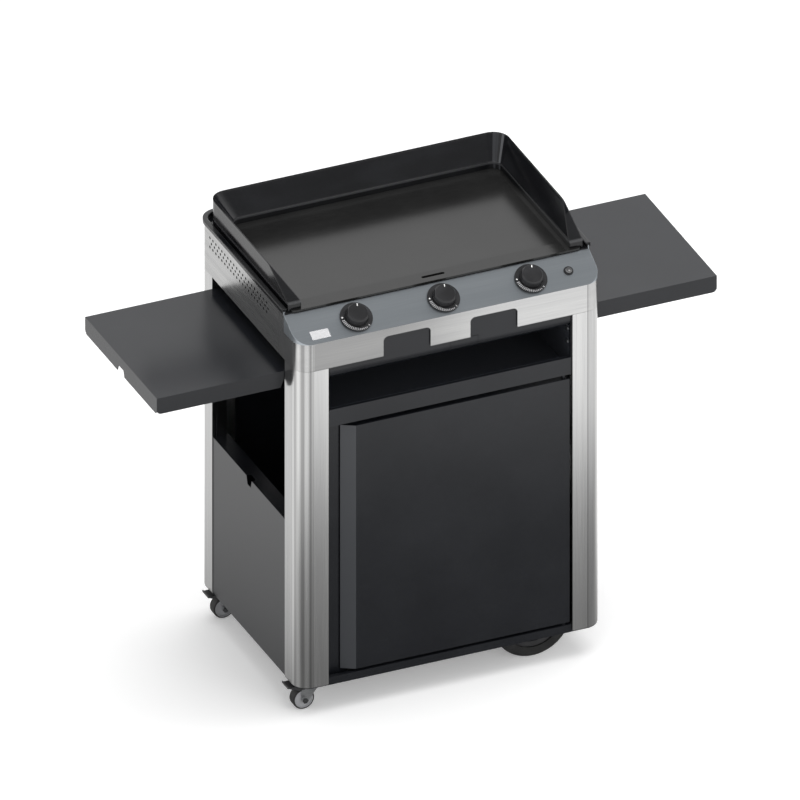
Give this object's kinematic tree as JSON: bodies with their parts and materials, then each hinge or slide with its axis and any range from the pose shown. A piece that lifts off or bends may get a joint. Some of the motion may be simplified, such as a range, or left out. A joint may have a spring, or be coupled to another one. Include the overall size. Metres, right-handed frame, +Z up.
{
  "type": "outdoor gas griddle station",
  "caption": "Wheeled cart with a flat gas griddle under a three-sided splash guard, three burner knobs, a front door, a middle shelf and two folding side shelves.",
  "frame": {"origin": "floor level under the middle of the whole box, 8.5 mm behind the middle of the cart body", "axes": "+X to the user's right, +Y to the back, +Z up"},
  "size_m": [1.322, 0.551, 1.04],
  "materials": {
    "stainless": "brushed",
    "control_steel": "brushed",
    "powder_coat": "satin",
    "enamel": "gloss",
    "griddle_steel": "satin",
    "black_plastic": "matt",
    "plated_steel": "plated",
    "bright_button": "polished",
    "brass": "machined",
    "ceramic": "glazed",
    "wheel_plastic": "matt",
    "grey_plastic": "satin",
    "wheel_rubber": "matt"
  },
  "bodies": {
    "station": {"corner_posts": "stainless", "body_shell": "stainless", "control_fascia": "control_steel", "side_panel_left": "powder_coat", "side_panel_right": "powder_coat", "back_panel": "powder_coat", "base_tray": "powder_coat", "wheel_housings": "powder_coat", "mid_shelf": "powder_coat", "door_jamb": "powder_coat", "top_frame": "enamel", "splash_guard": "enamel", "griddle_plate": "griddle_steel", "firebox": "plated_steel", "heat_shield": "plated_steel", "burners": "plated_steel", "gas_manifold": "plated_steel", "grease_chute": "plated_steel", "grease_rails": "plated_steel", "door_hinge_pins": "plated_steel", "shelf_hinge_pins": "plated_steel", "post_screws": "plated_steel", "castor_heads": "plated_steel", "axle_rod": "plated_steel", "axle_collars": "plated_steel", "gas_valves": "brass", "spark_electrodes": "ceramic", "igniter_housing": "black_plastic", "knob_rings": "black_plastic", "door_magnet": "black_plastic"},
    "valve_left": {"valve_stem_left": "plated_steel"},
    "valve_centre": {"valve_stem_centre": "plated_steel"},
    "valve_right": {"valve_stem_right": "plated_steel"},
    "knob_body_left": {"knob_left": "black_plastic"},
    "knob_body_centre": {"knob_centre": "black_plastic"},
    "knob_body_right": {"knob_right": "black_plastic"},
    "igniter": {"igniter_button": "bright_button"},
    "tray": {"grease_tray": "plated_steel"},
    "door": {"door_panel": "powder_coat", "door_liner": "powder_coat"},
    "left_shelf": {"shelf_left": "powder_coat"},
    "right_shelf": {"shelf_right": "powder_coat"},
    "front_fork": {"castor_fork_front": "plated_steel", "castor_axle_front": "plated_steel"},
    "rear_fork": {"castor_fork_rear": "plated_steel", "castor_axle_rear": "plated_steel"},
    "front_castor": {"castor_wheel_front": "grey_plastic", "castor_tyre_front": "wheel_rubber"},
    "rear_castor": {"castor_wheel_rear": "grey_plastic", "castor_tyre_rear": "wheel_rubber"},
    "front_pedal": {"brake_pedal_front": "black_plastic"},
    "rear_pedal": {"brake_pedal_rear": "black_plastic"},
    "front_wheel": {"large_wheel_front": "wheel_plastic", "large_tyre_front": "wheel_rubber"},
    "rear_wheel": {"large_wheel_rear": "wheel_plastic", "large_tyre_rear": "wheel_rubber"}
  },
  "joints": [
    {"name": "knob_turn_left", "type": "hinge", "parent": "station", "child": "valve_left", "pos_m": [-0.206, -0.237, 0.951], "axis": [0, -0.4789, 0.8779], "range_deg": [0, 270]},
    {"name": "knob_push_left", "type": "slide", "parent": "valve_left", "child": "knob_body_left", "axis": [0, -0.4789, 0.8779], "range_m": [-0.004, 0], "stiffness_N_per_m": 1500, "springref_m": 0.001},
    {"name": "knob_turn_centre", "type": "hinge", "parent": "station", "child": "valve_centre", "pos_m": [0, -0.237, 0.951], "axis": [0, -0.4789, 0.8779], "range_deg": [0, 270]},
    {"name": "knob_push_centre", "type": "slide", "parent": "valve_centre", "child": "knob_body_centre", "axis": [0, -0.4789, 0.8779], "range_m": [-0.004, 0], "stiffness_N_per_m": 1500, "springref_m": 0.001},
    {"name": "knob_turn_right", "type": "hinge", "parent": "station", "child": "valve_right", "pos_m": [0.206, -0.237, 0.951], "axis": [0, -0.4789, 0.8779], "range_deg": [0, 270]},
    {"name": "knob_push_right", "type": "slide", "parent": "valve_right", "child": "knob_body_right", "axis": [0, -0.4789, 0.8779], "range_m": [-0.004, 0], "stiffness_N_per_m": 1500, "springref_m": 0.001},
    {"name": "igniter_push", "type": "slide", "parent": "station", "child": "igniter", "axis": [0, -0.4789, 0.8779], "range_m": [-0.003, 0], "stiffness_N_per_m": 1200, "springref_m": 0.001},
    {"name": "grease_tray_slide", "type": "slide", "parent": "station", "child": "tray", "axis": [0, -1, 0], "range_m": [0, 0.08]},
    {"name": "door_hinge", "type": "hinge", "parent": "station", "child": "door", "pos_m": [0.272, -0.2615, 0.4], "axis": [0, 0, 1], "range_deg": [0, 105]},
    {"name": "left_shelf_fold", "type": "hinge", "parent": "station", "child": "left_shelf", "pos_m": [-0.34, -0.0085, 0.815], "axis": [0, -1, 0], "range_deg": [0, 90]},
    {"name": "right_shelf_fold", "type": "hinge", "parent": "station", "child": "right_shelf", "pos_m": [0.34, -0.0085, 0.815], "axis": [0, 1, 0], "range_deg": [0, 90]},
    {"name": "castor_swivel_front", "type": "hinge", "parent": "station", "child": "front_fork", "pos_m": [-0.306, -0.2225, 0.06], "axis": [0, 0, 1], "continuous": true},
    {"name": "castor_roll_front", "type": "hinge", "parent": "front_fork", "child": "front_castor", "pos_m": [-0.328, -0.2225, 0.025], "axis": [0, 1, 0], "continuous": true},
    {"name": "brake_pedal_front", "type": "hinge", "parent": "front_fork", "child": "front_pedal", "pos_m": [-0.332, -0.2225, 0.0535], "axis": [0, -1, 0], "range_deg": [0, 10]},
    {"name": "castor_swivel_rear", "type": "hinge", "parent": "station", "child": "rear_fork", "pos_m": [-0.306, 0.2055, 0.06], "axis": [0, 0, 1], "continuous": true},
    {"name": "castor_roll_rear", "type": "hinge", "parent": "rear_fork", "child": "rear_castor", "pos_m": [-0.328, 0.2055, 0.025], "axis": [0, 1, 0], "continuous": true},
    {"name": "brake_pedal_rear", "type": "hinge", "parent": "rear_fork", "child": "rear_pedal", "pos_m": [-0.332, 0.2055, 0.0535], "axis": [0, -1, 0], "range_deg": [0, 10]},
    {"name": "wheel_roll_front", "type": "hinge", "parent": "station", "child": "front_wheel", "pos_m": [0.218, -0.2085, 0.091], "axis": [0, 1, 0], "continuous": true},
    {"name": "wheel_roll_rear", "type": "hinge", "parent": "station", "child": "rear_wheel", "pos_m": [0.218, 0.1915, 0.091], "axis": [0, 1, 0], "continuous": true}
  ]
}
